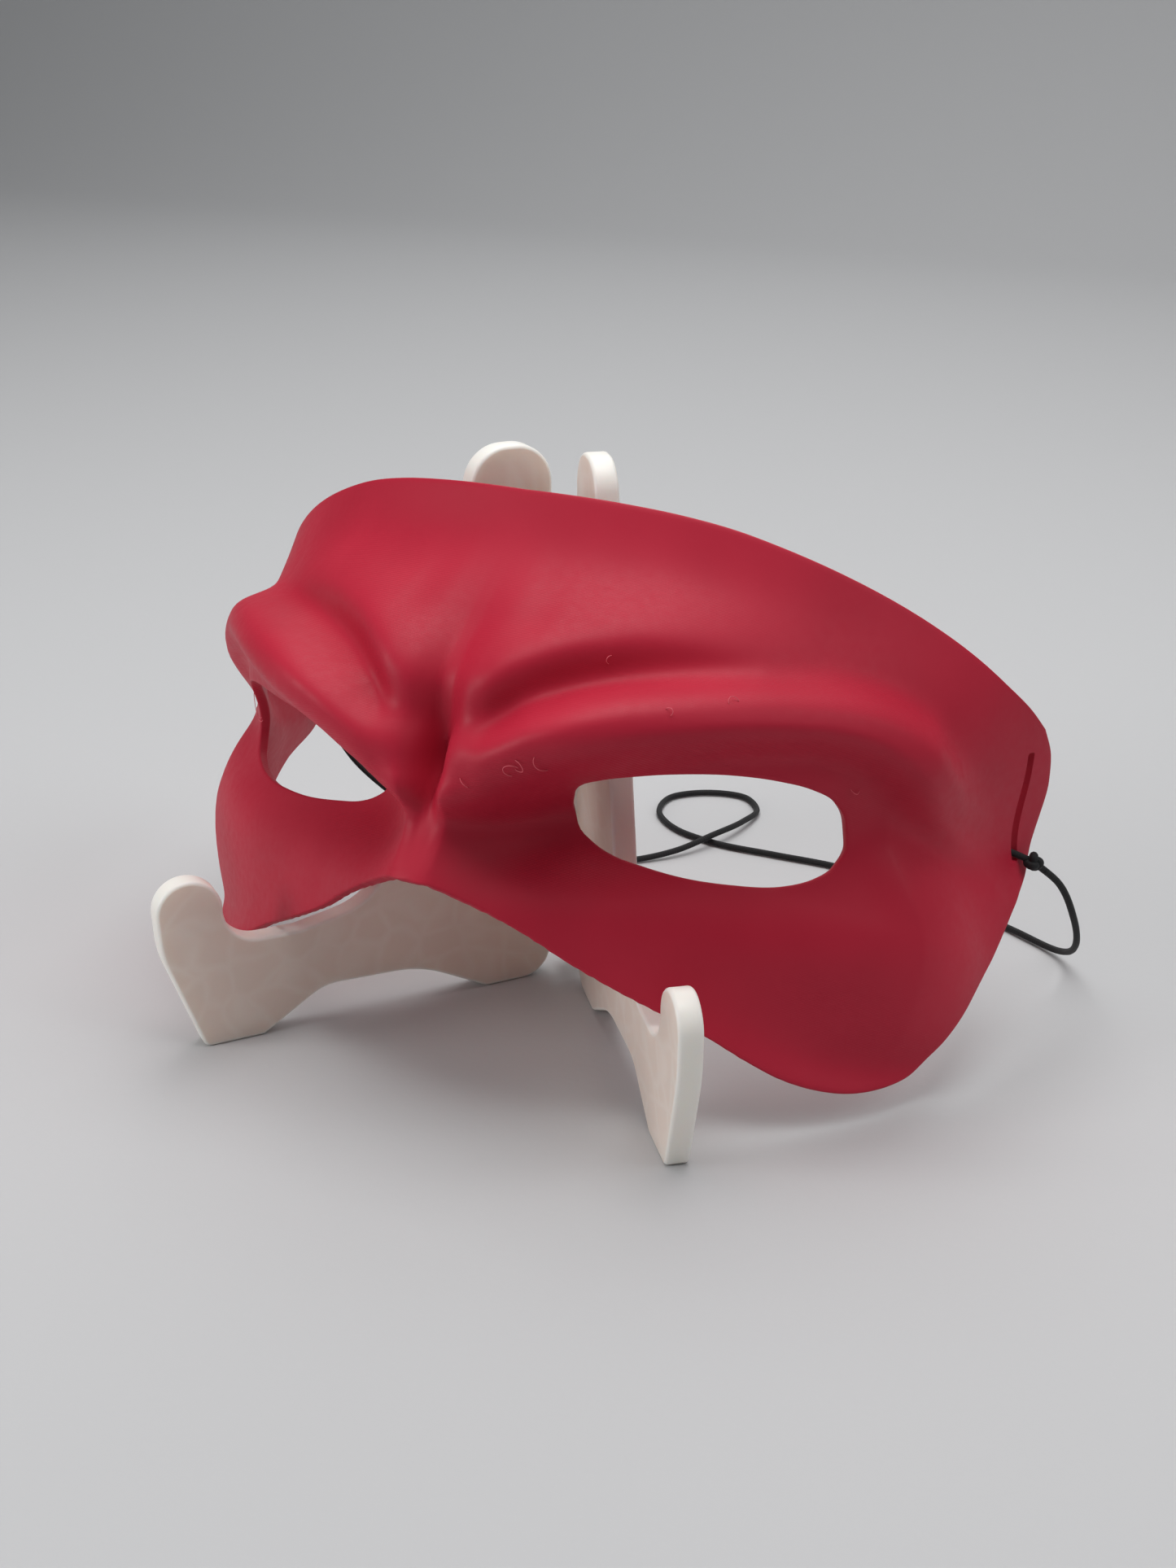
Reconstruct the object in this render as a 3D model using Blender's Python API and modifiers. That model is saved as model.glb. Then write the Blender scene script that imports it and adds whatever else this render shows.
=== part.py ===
"""Half mask with a furrowed brow, its elastic cord and the two-plate stand that holds it."""
import math

import bmesh
import bpy
import numpy as np
from mathutils import Matrix, Vector

# driving sizes, metres
HALF_WIDTH = 0.083        # mask, middle to side wall
FACE_REACH = 0.095        # mask, side centre line to brow
FACE_HEIGHT = 0.086       # mask, lowest lobe to top edge, along the face
FOLD_RISE = 0.010         # how far a full fold stands out
NOSE_RISE = 0.016
NOSE_HALF = 0.014
NOSE_ROUND = 0.0035       # roundness of the nose's ridge
BROW_SPREAD = 0.0046      # half breadth of the brow ridge, below its crest
CREASE_SPREAD = 0.0045
SOCKET_SPREAD = 0.009
CHEEK_SPREAD = 0.013
TUCK_SPREAD = 0.026       # how far the side walls' inward turn reaches, up and down
WALL = 0.0019             # printed wall
LEAN = math.radians(30.0)  # how far the worn-upright mask leans back on the stand
MASK_AHEAD = 0.001        # mask's middle plane depth ahead of the stand's datum

SLOT_LENGTH = 0.0203
SLOT_WIDTH = 0.002
SLOT_WRAP = 74.9          # degrees round from the nose, at the slot's middle
SLOT_LEVEL = 0.413        # share of FACE_HEIGHT
SLOT_DRIFT = 28.0         # degrees the slot's line runs back while it drops by FACE_HEIGHT

PLATE_THICKNESS = 0.0043
PLATE_LENGTH = 0.0678     # front of the foot to the rear edge
PLATE_HEIGHT = 0.1035
SEAT_HEIGHT = 0.0194
HOOK_HEIGHT = 0.0327
HOOK_REACH = 0.0087       # hook ahead of the foot
HOOK_BREADTH = 0.0123
BACK_BREADTH = 0.014      # backrest at its top
FOOT_FRONT = 0.0097
FOOT_REAR = 0.0105
ARCH_HEIGHT = 0.0074
STAND_HALF_ANGLE = math.radians(38.15)
STAND_TURN = math.radians(-1.95)
STAND_FRONT = (-0.001287, -0.077495)   # midway between the fronts of both feet
HINGE_SPACE = 0.0037      # from a plate's rear edge to where both inner faces would meet
PIN_BOTTOM = 0.006
PIN_TOP = 0.080

CORD_DIAMETER = 0.0013
KNOT_DIAMETER = 0.0038
KNOT_LIFT = 0.0002        # right knot above its slot's lower end
KNOT_BACK = 0.0011        # right knot behind its slot's line
GAP = 0.0003
ORIGIN_SHIFT = (0.0, 0.0399, 0.0)   # puts the origin under the middle of the whole

MM_PER_DEGREE = 0.00145   # breadth of one degree of wrap on the mask
EYE_CENTRE = (30.0, 0.19)
RINGS = 11
EDGE_STEPS = {"midline": 11, "lower": 22, "rear": 15, "top": 22}

# level, half width, front, side centre as shares of FACE_HEIGHT, HALF_WIDTH, FACE_REACH; fullness
SECTIONS = [
    (-0.255, 0.965, 0.780, 0.210, 2.10),
    (-0.060, 1.005, 0.845, 0.160, 1.95),
    (0.095, 1.050, 0.900, 0.120, 2.10),
    (0.210, 1.025, 0.990, 0.090, 2.15),
    (0.325, 0.975, 1.025, 0.080, 2.15),
    (0.490, 0.995, 0.970, 0.060, 2.10),
    (0.630, 1.005, 0.920, 0.045, 2.05),
    (0.790, 0.990, 0.905, 0.035, 2.05),
]

# level, rise as a share of NOSE_RISE, half breadth as a share of NOSE_HALF
MIDLINE = [
    (-0.235, 0.84, 1.10),
    (-0.035, 0.80, 1.00),
    (0.057, 0.52, 0.85),
    (0.112, 0.32, 0.68),
    (0.150, 0.12, 0.50),
    (0.186, -0.14, 0.30),
    (0.245, -0.22, 0.26),
    (0.350, -0.08, 0.30),
    (0.480, -0.01, 0.40),
    (0.675, 0.00, 0.65),
]

# each fold: spread below, spread above, flatness, rows of wrap in degrees, level, share of FOLD_RISE
FOLDS = {
    "brow ridge": (BROW_SPREAD, 1.4 * BROW_SPREAD, 3.0, [
        (0, 0.172, 0.0), (2.5, 0.175, 0.62), (5, 0.186, 0.95), (8, 0.208, 1.02), (12, 0.248, 0.98),
        (18, 0.296, 0.88), (25, 0.343, 0.76), (35, 0.400, 0.66), (42, 0.428, 0.62), (47, 0.430, 0.60),
        (52, 0.410, 0.58), (57, 0.372, 0.50), (63, 0.338, 0.30), (72, 0.310, 0.0)]),
    "upper fold": (CREASE_SPREAD, 1.6 * CREASE_SPREAD, 2.0, [
        (0.5, 0.200, 0.0), (2.5, 0.270, 0.30), (5, 0.345, 0.38), (9, 0.415, 0.38), (16, 0.480, 0.29),
        (27, 0.525, 0.12), (38, 0.555, 0.0)]),
    "fold valley": (CREASE_SPREAD, CREASE_SPREAD, 2.0, [
        (1.5, 0.215, 0.0), (3, 0.226, -0.16), (5, 0.250, -0.24), (8, 0.288, -0.24), (11, 0.328, -0.24),
        (15, 0.376, -0.22), (22, 0.430, -0.14), (32, 0.480, 0.0)]),
    "eye socket": (SOCKET_SPREAD, 0.8 * SOCKET_SPREAD, 2.0, [
        (2, 0.095, 0.0), (6, 0.104, -0.55), (10, 0.120, -0.95), (18, 0.135, -1.20), (28, 0.140, -0.92),
        (40, 0.180, -0.86), (48, 0.215, -0.72), (55, 0.255, -0.44), (63, 0.280, -0.24), (72, 0.290, 0.0)]),
    "cheek": (CHEEK_SPREAD, CHEEK_SPREAD, 2.0, [
        (18, -0.045, 0.0), (34, -0.060, 0.18), (48, -0.060, 0.41), (60, -0.070, 0.60), (72, -0.095, 0.31)]),
    "rear tuck": (TUCK_SPREAD, TUCK_SPREAD, 2.0, [
        (54, 0.150, 0.0), (61, 0.160, -0.22), (68, 0.170, -0.42), (74, 0.190, -0.38), (84, 0.210, -0.02)]),
    "lobe flare": (CREASE_SPREAD, CREASE_SPREAD, 2.0, [
        (28, -0.220, 0.0), (50, -0.255, 0.32), (62, -0.210, 0.40), (72, -0.165, 0.0)]),
}

# outlines: wrap in degrees, level
TOP_EDGE = [(0, 0.753), (11, 0.756), (18.8, 0.756), (24.5, 0.752), (30.5, 0.741), (38, 0.723),
            (47, 0.695), (57, 0.654), (63, 0.625), (69, 0.598), (72.6, 0.577)]
REAR_EDGE = [(72.6, 0.577), (75.8, 0.535), (77.6, 0.486), (78.8, 0.436), (79.7, 0.370), (79.4, 0.305),
             (76.9, 0.244), (74.4, 0.192), (71.6, 0.141), (68.7, 0.092), (64, 0.015), (61, -0.057),
             (59, -0.116), (56.8, -0.172)]
LOWER_EDGE = [(0, -0.027), (2.5, -0.028), (4.9, -0.038), (8.1, -0.055), (12.2, -0.083), (16.5, -0.116),
              (21, -0.143), (26, -0.167), (32.2, -0.193), (37, -0.220), (41.2, -0.238), (46, -0.242),
              (50, -0.232), (53.8, -0.206), (56.8, -0.172)]
EYE_HOLE = [(12.3, 0.145), (13.5, 0.177), (15.2, 0.200), (17.2, 0.215), (21.2, 0.237), (27, 0.264),
            (32.5, 0.285), (38.5, 0.299), (42.6, 0.302), (46, 0.294), (48.3, 0.268), (48.5, 0.228),
            (45.9, 0.174), (42.2, 0.137), (37.7, 0.108), (32, 0.089), (26.2, 0.079), (21.2, 0.080),
            (17.6, 0.085), (14.9, 0.097), (12.9, 0.114)]

# the cord's route, millimetres before ORIGIN_SHIFT, from the right knot to the left slot
CORD_ROUTE = [
    (81.3, 0.1, 30.3), (83.1, 2.8, 27.4), (85.3, 9.3, 17.6), (84.4, 16.5, 8.8), (78.6, 26.6, 1.8),
    (68.0, 33.0, 0.9), (52.0, 40.2, 0.8), (36.0, 44.6, 0.8), (23.5, 45.6, 0.8), (10.5, 45.0, 0.8),
    (-3.8, 44.8, 0.8), (-14.5, 48.0, 0.8), (-22.0, 55.6, 0.8), (-23.0, 64.0, 0.8), (-16.8, 70.4, 0.8),
    (-8.0, 71.8, 0.8), (-2.6, 66.4, 0.9), (-1.6, 56.0, 1.9), (-3.8, 44.8, 2.5), (-8.2, 35.6, 1.5),
    (-16.0, 27.0, 0.8), (-27.0, 19.4, 1.5), (-40.0, 11.0, 5.2), (-51.0, 4.2, 12.4), (-58.5, 0.8, 18.2),
    (-65.0, -1.5, 24.4), (-70.0, -2.1, 30.2), (-73.4, -2.4, 33.1), (-76.3, -3.0, 34.2)]


def smooth(x, xs, ys):
    """Cubic read of a table at x, held at its ends."""
    xs = np.asarray(xs, float)
    ys = np.asarray(ys, float)
    x = np.clip(x, xs[0], xs[-1])
    k = np.clip(np.searchsorted(xs, x, side="right") - 1, 0, len(xs) - 2)
    step = xs[k + 1] - xs[k]
    t = (x - xs[k]) / step
    slope = np.gradient(ys, xs)
    return ((2 * t**3 - 3 * t**2 + 1) * ys[k] + (t**3 - 2 * t**2 + t) * step * slope[k]
            + (3 * t**2 - 2 * t**3) * ys[k + 1] + (t**3 - t**2) * step * slope[k + 1])


def columns(rows):
    return [np.array(column, float) for column in zip(*rows)]


def relief(wrap, level):
    """How far the folds stand out from the plain wrap."""
    side = np.abs(wrap)
    levels, rises, halves = columns(MIDLINE)
    half = smooth(level, levels, halves) * NOSE_HALF
    away = np.hypot(side * MM_PER_DEGREE, NOSE_ROUND) - NOSE_ROUND
    out = smooth(level, levels, rises) * NOSE_RISE * np.exp(-(away / half) ** 1.25)
    for below, above, flatness, rows in FOLDS.values():
        wraps, levels, rises = columns(rows)
        crest = smooth(side, wraps, levels)
        climb = (smooth(side + 0.5, wraps, levels) - smooth(side - 0.5, wraps, levels)) * FACE_HEIGHT
        away = (level - crest) * FACE_HEIGHT / np.sqrt(1 + (climb / MM_PER_DEGREE) ** 2)
        spread = below + (above - below) * (0.5 + 0.5 * np.tanh(away / below))
        out += smooth(side, wraps, rises) * FOLD_RISE * np.exp(-np.abs(away / spread) ** flatness)
    return out


def plain_wrap(wrap, level):
    """The mask without folds, upright as it is worn."""
    levels, widths, fronts, centres, fullness = columns(SECTIONS)
    half_width = smooth(level, levels, widths) * HALF_WIDTH
    front = smooth(level, levels, fronts) * FACE_REACH
    centre = smooth(level, levels, centres) * FACE_REACH
    power = 2 / smooth(level, levels, fullness)
    angle = np.radians(wrap)
    x = half_width * np.sign(angle) * np.abs(np.sin(angle)) ** power
    y = centre - (centre + front) * np.abs(np.cos(angle)) ** power
    return np.stack([x, y, level * FACE_HEIGHT], -1)


def mask_point(wrap, level):
    """A point of the outer face and the way out of it, both leaned back."""
    wrap = np.asarray(wrap, float)
    level = np.asarray(level, float)
    across = plain_wrap(wrap + 0.4, level) - plain_wrap(wrap - 0.4, level)
    up = plain_wrap(wrap, level + 0.005) - plain_wrap(wrap, level - 0.005)
    out = np.cross(across, up)
    out[..., 2] *= 0.3
    out /= np.linalg.norm(out, axis=-1, keepdims=True)
    point = plain_wrap(wrap, level) + out * relief(wrap, level)[..., None]
    c = math.cos(LEAN)
    s = math.sin(LEAN)
    turn = np.array([[1, 0, 0], [0, c, s], [0, -s, c]])
    return point @ turn.T - np.array([0.0, MASK_AHEAD, 0.0]), out @ turn.T


def slot_way(side):
    """The strap slot's line over a tenth of the face height, downwards."""
    over, _ = mask_point(side * (SLOT_WRAP - 0.05 * SLOT_DRIFT), SLOT_LEVEL + 0.05)
    under, _ = mask_point(side * (SLOT_WRAP + 0.05 * SLOT_DRIFT), SLOT_LEVEL - 0.05)
    return under - over


def slot_spot(side, down, back):
    """Wrap and level of a spot down the strap slot's line and back from it."""
    drop = 0.1 * down / np.linalg.norm(slot_way(side))
    return side * (SLOT_WRAP + drop * SLOT_DRIFT + back / MM_PER_DEGREE), SLOT_LEVEL - drop


def wall_way(wrap, level):
    """The way out of the folded face, as the wall is thickened along it."""
    across = mask_point(wrap + 0.3, level)[0] - mask_point(wrap - 0.3, level)[0]
    up = mask_point(wrap, level + 0.004)[0] - mask_point(wrap, level - 0.004)[0]
    way = np.cross(across, up)
    return way / np.linalg.norm(way, axis=-1, keepdims=True)


def edge_line(rows, steps):
    """A smooth outline through the rows, cut into equal steps."""
    wraps, levels = columns(rows)
    run = np.hypot(np.diff(wraps) * MM_PER_DEGREE, np.diff(levels) * FACE_HEIGHT)
    along = np.concatenate([[0.0], np.cumsum(run)])
    fine = np.linspace(0, along[-1], 400)
    line = np.stack([smooth(fine, along, wraps), smooth(fine, along, levels)], -1)
    run = np.hypot(np.diff(line[:, 0]) * MM_PER_DEGREE, np.diff(line[:, 1]) * FACE_HEIGHT)
    length = np.concatenate([[0.0], np.cumsum(run)])
    at = np.linspace(0, length[-1], steps + 1)
    return np.stack([np.interp(at, length, line[:, 0]), np.interp(at, length, line[:, 1])], -1)


def to_polar(line):
    x = (line[:, 0] - EYE_CENTRE[0]) * MM_PER_DEGREE
    y = (line[:, 1] - EYE_CENTRE[1]) * FACE_HEIGHT
    return np.arctan2(y, x), np.hypot(x, y)


def mask_rings(rings, steps):
    """Wrap and level of each vertex, from the eye hole out to the mask's edge, right half."""
    outer = edge_line(LOWER_EDGE[:-1] + REAR_EDGE[::-1], steps["lower"] + steps["rear"])
    top = edge_line(TOP_EDGE, steps["top"])[::-1]
    middle = edge_line([(0, TOP_EDGE[0][1]), (0, 0.4), (0, LOWER_EDGE[0][1])], steps["midline"])
    rim = np.concatenate([outer[:-1], top[:-1], middle[:-1]])
    angle, reach = to_polar(rim)
    eye_angle, eye_reach = to_polar(edge_line(EYE_HOLE + EYE_HOLE[:1], 300)[:-1])
    order = np.argsort(eye_angle)
    hole = np.interp(angle, eye_angle[order], eye_reach[order], period=2 * math.pi)
    share = np.linspace(0, 1, rings + 1)[:, None]
    radius = hole * (1 - share) + reach * share
    wrap = EYE_CENTRE[0] + radius * np.cos(angle) / MM_PER_DEGREE
    level = EYE_CENTRE[1] + radius * np.sin(angle) / FACE_HEIGHT
    wrap[-1] = rim[:, 0]
    level[-1] = rim[:, 1]
    return wrap, level


def stand_corner():
    """Where the inner faces of both plates would meet behind their rear edges."""
    reach = (PLATE_LENGTH + HINGE_SPACE) * math.cos(STAND_HALF_ANGLE)
    return np.array(STAND_FRONT) + reach * np.array([math.sin(STAND_TURN), math.cos(STAND_TURN)])


def plate_frame(side):
    """Front of the foot, the way back along the plate, and the way out of its outer face."""
    turn = STAND_TURN + side * -STAND_HALF_ANGLE
    back = np.array([math.sin(turn), math.cos(turn)])
    outward = np.array([back[1], -back[0]]) * side
    return stand_corner() - (PLATE_LENGTH + HINGE_SPACE) * back, back, outward


def rest_lift():
    """Lifts the mask until its lower edge clears both seats by the gap."""
    line = edge_line(LOWER_EDGE, 300)
    lowest = 1.0
    for side in (-1, 1):
        foot, back, outward = plate_frame(side)
        point, _ = mask_point(line[:, 0] * side, line[:, 1])
        for layer in (point, point - wall_way(line[:, 0] * side, line[:, 1]) * WALL):
            away = (layer[:, :2] - foot) @ outward
            along = (layer[:, :2] - foot) @ back
            over = (away > 0) & (away < PLATE_THICKNESS) & (along < 0.6 * PLATE_LENGTH)
            if over.any():
                lowest = min(lowest, layer[over, 2].min())
    return SEAT_HEIGHT + GAP - lowest


def material(name, colour, roughness, metallic=0.0):
    made = bpy.data.materials.new(name)
    made.use_nodes = True
    shader = made.node_tree.nodes["Principled BSDF"]
    shader.inputs["Base Color"].default_value = (*colour, 1.0)
    shader.inputs["Roughness"].default_value = roughness
    shader.inputs["Metallic"].default_value = metallic
    return made


def add_object(name, data, collection, made=None):
    thing = bpy.data.objects.new(name, data)
    collection.objects.link(thing)
    if made:
        data.materials.append(made)
    return thing


def curve_to_mesh(thing, name, made, collection):
    """Turns a curve object into a mesh object with its caps welded."""
    bpy.context.view_layer.update()
    mesh = bpy.data.meshes.new_from_object(thing.evaluated_get(bpy.context.evaluated_depsgraph_get()))
    mesh.name = name
    work = bmesh.new()
    work.from_mesh(mesh)
    bmesh.ops.remove_doubles(work, verts=work.verts, dist=0.00001)
    bmesh.ops.recalc_face_normals(work, faces=work.faces)
    work.to_mesh(mesh)
    work.free()
    matrix = thing.matrix_world.copy()
    bpy.data.objects.remove(thing)
    mesh.materials.clear()
    solid = add_object(name, mesh, collection, made)
    solid.matrix_world = matrix
    return solid


def rounded(corners, steps):
    """Outline through corners given as along, up, radius, each corner turned by an arc."""
    points = []
    count = len(corners)
    for i, (x, z, radius) in enumerate(corners):
        here = Vector((x, z))
        before = (Vector(corners[i - 1][:2]) - here)
        after = (Vector(corners[(i + 1) % count][:2]) - here)
        bend = before.angle(after)
        cut = min(radius / math.tan(bend / 2), 0.499 * before.length, 0.499 * after.length)
        size = cut * math.tan(bend / 2)
        before.normalize()
        after.normalize()
        centre = here + (before + after).normalized() * (size / math.sin(bend / 2))
        start = here + before * cut - centre
        turn = start.angle_signed(here + after * cut - centre)
        for k in range(steps + 1):
            c = math.cos(-turn * k / steps)
            s = math.sin(-turn * k / steps)
            points.append(centre + Vector((start.x * c - start.y * s, start.x * s + start.y * c)))
    return points


def plate_corners():
    """Side view of a stand plate: along from the foot's front, up from the table, radius."""
    rear = PLATE_LENGTH
    seat = SEAT_HEIGHT
    hook_front = -HOOK_REACH
    hook_rear = hook_front + HOOK_BREADTH
    back_front = rear - BACK_BREADTH
    top = PLATE_HEIGHT
    lean = 0.248 * (top - seat)
    return [
        (-0.018 * rear, 0.0, 0.022 * rear),
        (FOOT_FRONT, 0.0, 0.015 * rear),
        (FOOT_FRONT + 0.175 * rear, ARCH_HEIGHT, 0.150 * rear),
        (0.749 * rear - FOOT_REAR, 0.93 * ARCH_HEIGHT, 0.324 * rear),
        (0.945 * rear - FOOT_REAR, 0.0, 0.030 * rear),
        (0.988 * rear, 0.0, 0.088 * rear),
        (rear, 0.5 * top, 0.740 * rear),
        (rear, top, 0.5 * BACK_BREADTH),
        (back_front, top, 0.5 * BACK_BREADTH),
        (back_front - lean, seat + 0.045 * rear, 0.200 * rear),
        (hook_rear + 0.205 * rear, seat, 0.090 * rear),
        (hook_rear, seat, 0.103 * rear),
        (hook_rear, HOOK_HEIGHT, 0.5 * HOOK_BREADTH),
        (hook_front, HOOK_HEIGHT, 0.5 * HOOK_BREADTH),
        (hook_front + 0.009 * rear, seat, 0.295 * rear),
    ]


def stand_plate(name, side, made, collection):
    curve = bpy.data.curves.new(name + "_outline", "CURVE")
    curve.dimensions = "2D"
    curve.fill_mode = "BOTH"
    curve.extrude = PLATE_THICKNESS / 2
    outline = rounded(plate_corners(), 5)
    spline = curve.splines.new("POLY")
    spline.points.add(len(outline) - 1)
    for slot, point in zip(spline.points, outline):
        slot.co = (point.x, point.y, 0.0, 1.0)
    spline.use_cyclic_u = True
    thing = add_object(name + "_outline", curve, collection)
    foot, back, outward = plate_frame(side)
    middle = foot + outward * (PLATE_THICKNESS / 2)
    along = Vector((back[0], back[1], 0.0))
    up = Vector((0.0, 0.0, 1.0))
    turn = Matrix((along, up, along.cross(up))).transposed().to_4x4()
    place = Vector((middle[0], middle[1], 0.0)) + Vector(ORIGIN_SHIFT)
    thing.matrix_world = Matrix.Translation(place) @ turn
    return curve_to_mesh(thing, name, made, collection)


def mask_half(lift):
    """Right half of the outer face, a loft from the eye hole's outline to the mask's."""
    wrap, level = mask_rings(RINGS, EDGE_STEPS)
    point, _ = mask_point(wrap, level)
    point = point + np.array([0.0, 0.0, lift]) + np.array(ORIGIN_SHIFT)
    work = bmesh.new()
    rows = []
    for ring in point:
        rows.append([work.verts.new(p) for p in ring])
    count = len(rows[0])
    for a, b in zip(rows, rows[1:]):
        for k in range(count):
            n = (k + 1) % count
            work.faces.new((a[k], b[k], b[n], a[n]))
    for vert in work.verts:
        if abs(vert.co.x) < 0.00002:
            vert.co.x = 0.0
    mesh = bpy.data.meshes.new("mask_shell")
    work.to_mesh(mesh)
    work.free()
    mesh.shade_smooth()
    return mesh


def slot_cutter(side, lift, collection):
    centre, _ = mask_point(side * SLOT_WRAP, SLOT_LEVEL)
    up = Vector(-slot_way(side)).normalized()
    across = up.cross(Vector(wall_way(side * SLOT_WRAP, SLOT_LEVEL))).normalized()
    through = across.cross(up)
    bpy.ops.mesh.primitive_cube_add(size=1.0)
    cutter = bpy.context.object
    cutter.name = "slot_cutter_" + ("left" if side < 0 else "right")
    cutter.data.name = cutter.name
    for owner in list(cutter.users_collection):
        owner.objects.unlink(cutter)
    collection.objects.link(cutter)
    turn = Matrix((across, up, through)).transposed().to_4x4()
    place = Vector(centre) + Vector((0, 0, lift)) + Vector(ORIGIN_SHIFT)
    size = Matrix.Diagonal((SLOT_WIDTH, SLOT_LENGTH, 8 * WALL, 1.0))
    cutter.data.transform(size)
    cutter.matrix_world = Matrix.Translation(place) @ turn
    cutter.hide_render = True
    cutter.display_type = "WIRE"
    return cutter


def make_mask(made, collection, cutters, lift):
    mask = add_object("mask_shell", mask_half(lift), collection, made)
    mirror = mask.modifiers.new("other half", "MIRROR")
    mirror.use_clip = True
    mirror.merge_threshold = 0.0001
    wall = mask.modifiers.new("wall", "SOLIDIFY")
    wall.thickness = WALL
    wall.offset = -1.0
    for side in (-1, 1):
        cut = mask.modifiers.new("strap slot", "BOOLEAN")
        cut.operation = "DIFFERENCE"
        cut.solver = "EXACT"
        cut.object = slot_cutter(side, lift, cutters)
    return mask


def route_curve(points, steps):
    """Points read from a smooth curve through the route, evenly spaced."""
    path = np.array(points, float)
    run = np.linalg.norm(np.diff(path, axis=0), axis=1)
    along = np.concatenate([[0.0], np.cumsum(run)])
    fine = np.linspace(0, along[-1], 1200)
    line = np.stack([smooth(fine, along, path[:, i]) for i in range(3)], -1)
    length = np.concatenate([[0.0], np.cumsum(np.linalg.norm(np.diff(line, axis=0), axis=1))])
    at = np.linspace(0, length[-1], steps + 1)
    return np.stack([np.interp(at, length, line[:, i]) for i in range(3)], -1), length[-1]


def make_cord(made, collection):
    line, _ = route_curve(CORD_ROUTE, 79)
    curve = bpy.data.curves.new("elastic_cord", "CURVE")
    curve.dimensions = "3D"
    curve.bevel_depth = CORD_DIAMETER / 2
    curve.bevel_resolution = 2
    curve.use_fill_caps = True
    spline = curve.splines.new("POLY")
    spline.points.add(len(line) - 1)
    for slot, point in zip(spline.points, line * 0.001 + np.array(ORIGIN_SHIFT)):
        slot.co = (*point, 1.0)
    thing = add_object("elastic_cord_route", curve, collection)
    return curve_to_mesh(thing, "elastic_cord", made, collection)


def make_knot(name, centre, made, collection):
    mesh = bpy.data.meshes.new(name)
    work = bmesh.new()
    bmesh.ops.create_uvsphere(work, u_segments=14, v_segments=8, radius=KNOT_DIAMETER / 2)
    work.to_mesh(mesh)
    work.free()
    mesh.shade_smooth()
    knot = add_object(name, mesh, collection, made)
    knot.location = Vector(centre) + Vector(ORIGIN_SHIFT)
    return knot


def make_pin(made, collection):
    """Upright round pin behind the rear ends of both plates."""
    back = np.array([math.sin(STAND_TURN), math.cos(STAND_TURN)])
    centre = stand_corner() + 0.32 * HINGE_SPACE * back
    foot, along, _ = plate_frame(1)
    radius = (centre - foot) @ along - PLATE_LENGTH - GAP
    mesh = bpy.data.meshes.new("stand_hinge")
    work = bmesh.new()
    bmesh.ops.create_cone(work, cap_ends=True, segments=28, radius1=radius, radius2=radius,
                          depth=PIN_TOP - PIN_BOTTOM)
    work.to_mesh(mesh)
    work.free()
    mesh.shade_smooth()
    mesh.set_sharp_from_angle(angle=math.radians(40))
    pin = add_object("stand_hinge", mesh, collection, made)
    height = (PIN_TOP + PIN_BOTTOM) / 2
    pin.location = Vector((centre[0], centre[1], height)) + Vector(ORIGIN_SHIFT)
    return pin


def main():
    for thing in list(bpy.data.objects):
        bpy.data.objects.remove(thing)
    collection = bpy.data.collections.new("cosplay_mask_on_stand")
    cutters = bpy.data.collections.new("cutters")
    bpy.context.scene.collection.children.link(collection)
    bpy.context.scene.collection.children.link(cutters)

    red = material("red_printed_plastic", (0.52, 0.028, 0.045), 0.42)
    white = material("white_printed_plastic", (0.80, 0.76, 0.72), 0.45)
    black = material("black_elastic", (0.012, 0.012, 0.013), 0.75)

    lift = rest_lift()
    make_mask(red, collection, cutters, lift)
    stand_plate("stand_plate_left", -1, white, collection)
    stand_plate("stand_plate_right", 1, white, collection)
    make_pin(white, collection)
    make_cord(black, collection)
    drop = np.array([0.0, 0.0, lift])
    reach = KNOT_DIAMETER / 2 + GAP
    spot = slot_spot(1, 0.5 * SLOT_LENGTH - KNOT_LIFT, KNOT_BACK)
    right = mask_point(*spot)[0] + wall_way(*spot) * reach
    make_knot("cord_knot_right", right + drop, black, collection)
    spot = slot_spot(-1, 0.5 * SLOT_LENGTH - KNOT_LIFT - CORD_DIAMETER, -0.5 * CORD_DIAMETER)
    left = mask_point(*spot)[0] + wall_way(*spot) * reach
    make_knot("cord_knot_left", left + drop, black, collection)
    bpy.context.view_layer.update()


main()
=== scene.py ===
import math

import bmesh
import bpy
import numpy as np
from mathutils import Matrix, Vector


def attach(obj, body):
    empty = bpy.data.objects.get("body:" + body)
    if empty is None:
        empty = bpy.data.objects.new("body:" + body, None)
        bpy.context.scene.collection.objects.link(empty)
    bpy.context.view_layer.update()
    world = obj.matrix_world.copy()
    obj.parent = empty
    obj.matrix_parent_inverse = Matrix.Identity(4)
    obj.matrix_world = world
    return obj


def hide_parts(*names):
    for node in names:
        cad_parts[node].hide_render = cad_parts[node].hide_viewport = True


# A furrowed half mask in red printed plastic, its elastic cord and the printed stand under it.
# All places are metres on the table top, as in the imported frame. +Z is up, the mask faces -Y.

print("loading the packed frame")
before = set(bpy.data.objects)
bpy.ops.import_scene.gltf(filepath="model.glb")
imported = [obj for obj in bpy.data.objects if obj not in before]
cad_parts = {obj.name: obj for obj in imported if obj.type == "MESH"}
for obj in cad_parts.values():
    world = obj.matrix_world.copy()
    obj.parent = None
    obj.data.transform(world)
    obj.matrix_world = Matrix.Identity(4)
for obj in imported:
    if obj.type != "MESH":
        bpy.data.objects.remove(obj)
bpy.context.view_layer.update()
scene = bpy.context.scene
originShift = np.array([0.0, 0.0399, 0.0])  # from the stand's own datum to the frame's origin
mm = 0.001
noiseSpan = {"From Min": 0.3, "From Max": 0.7}  # where most of a noise pattern's values lie


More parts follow.
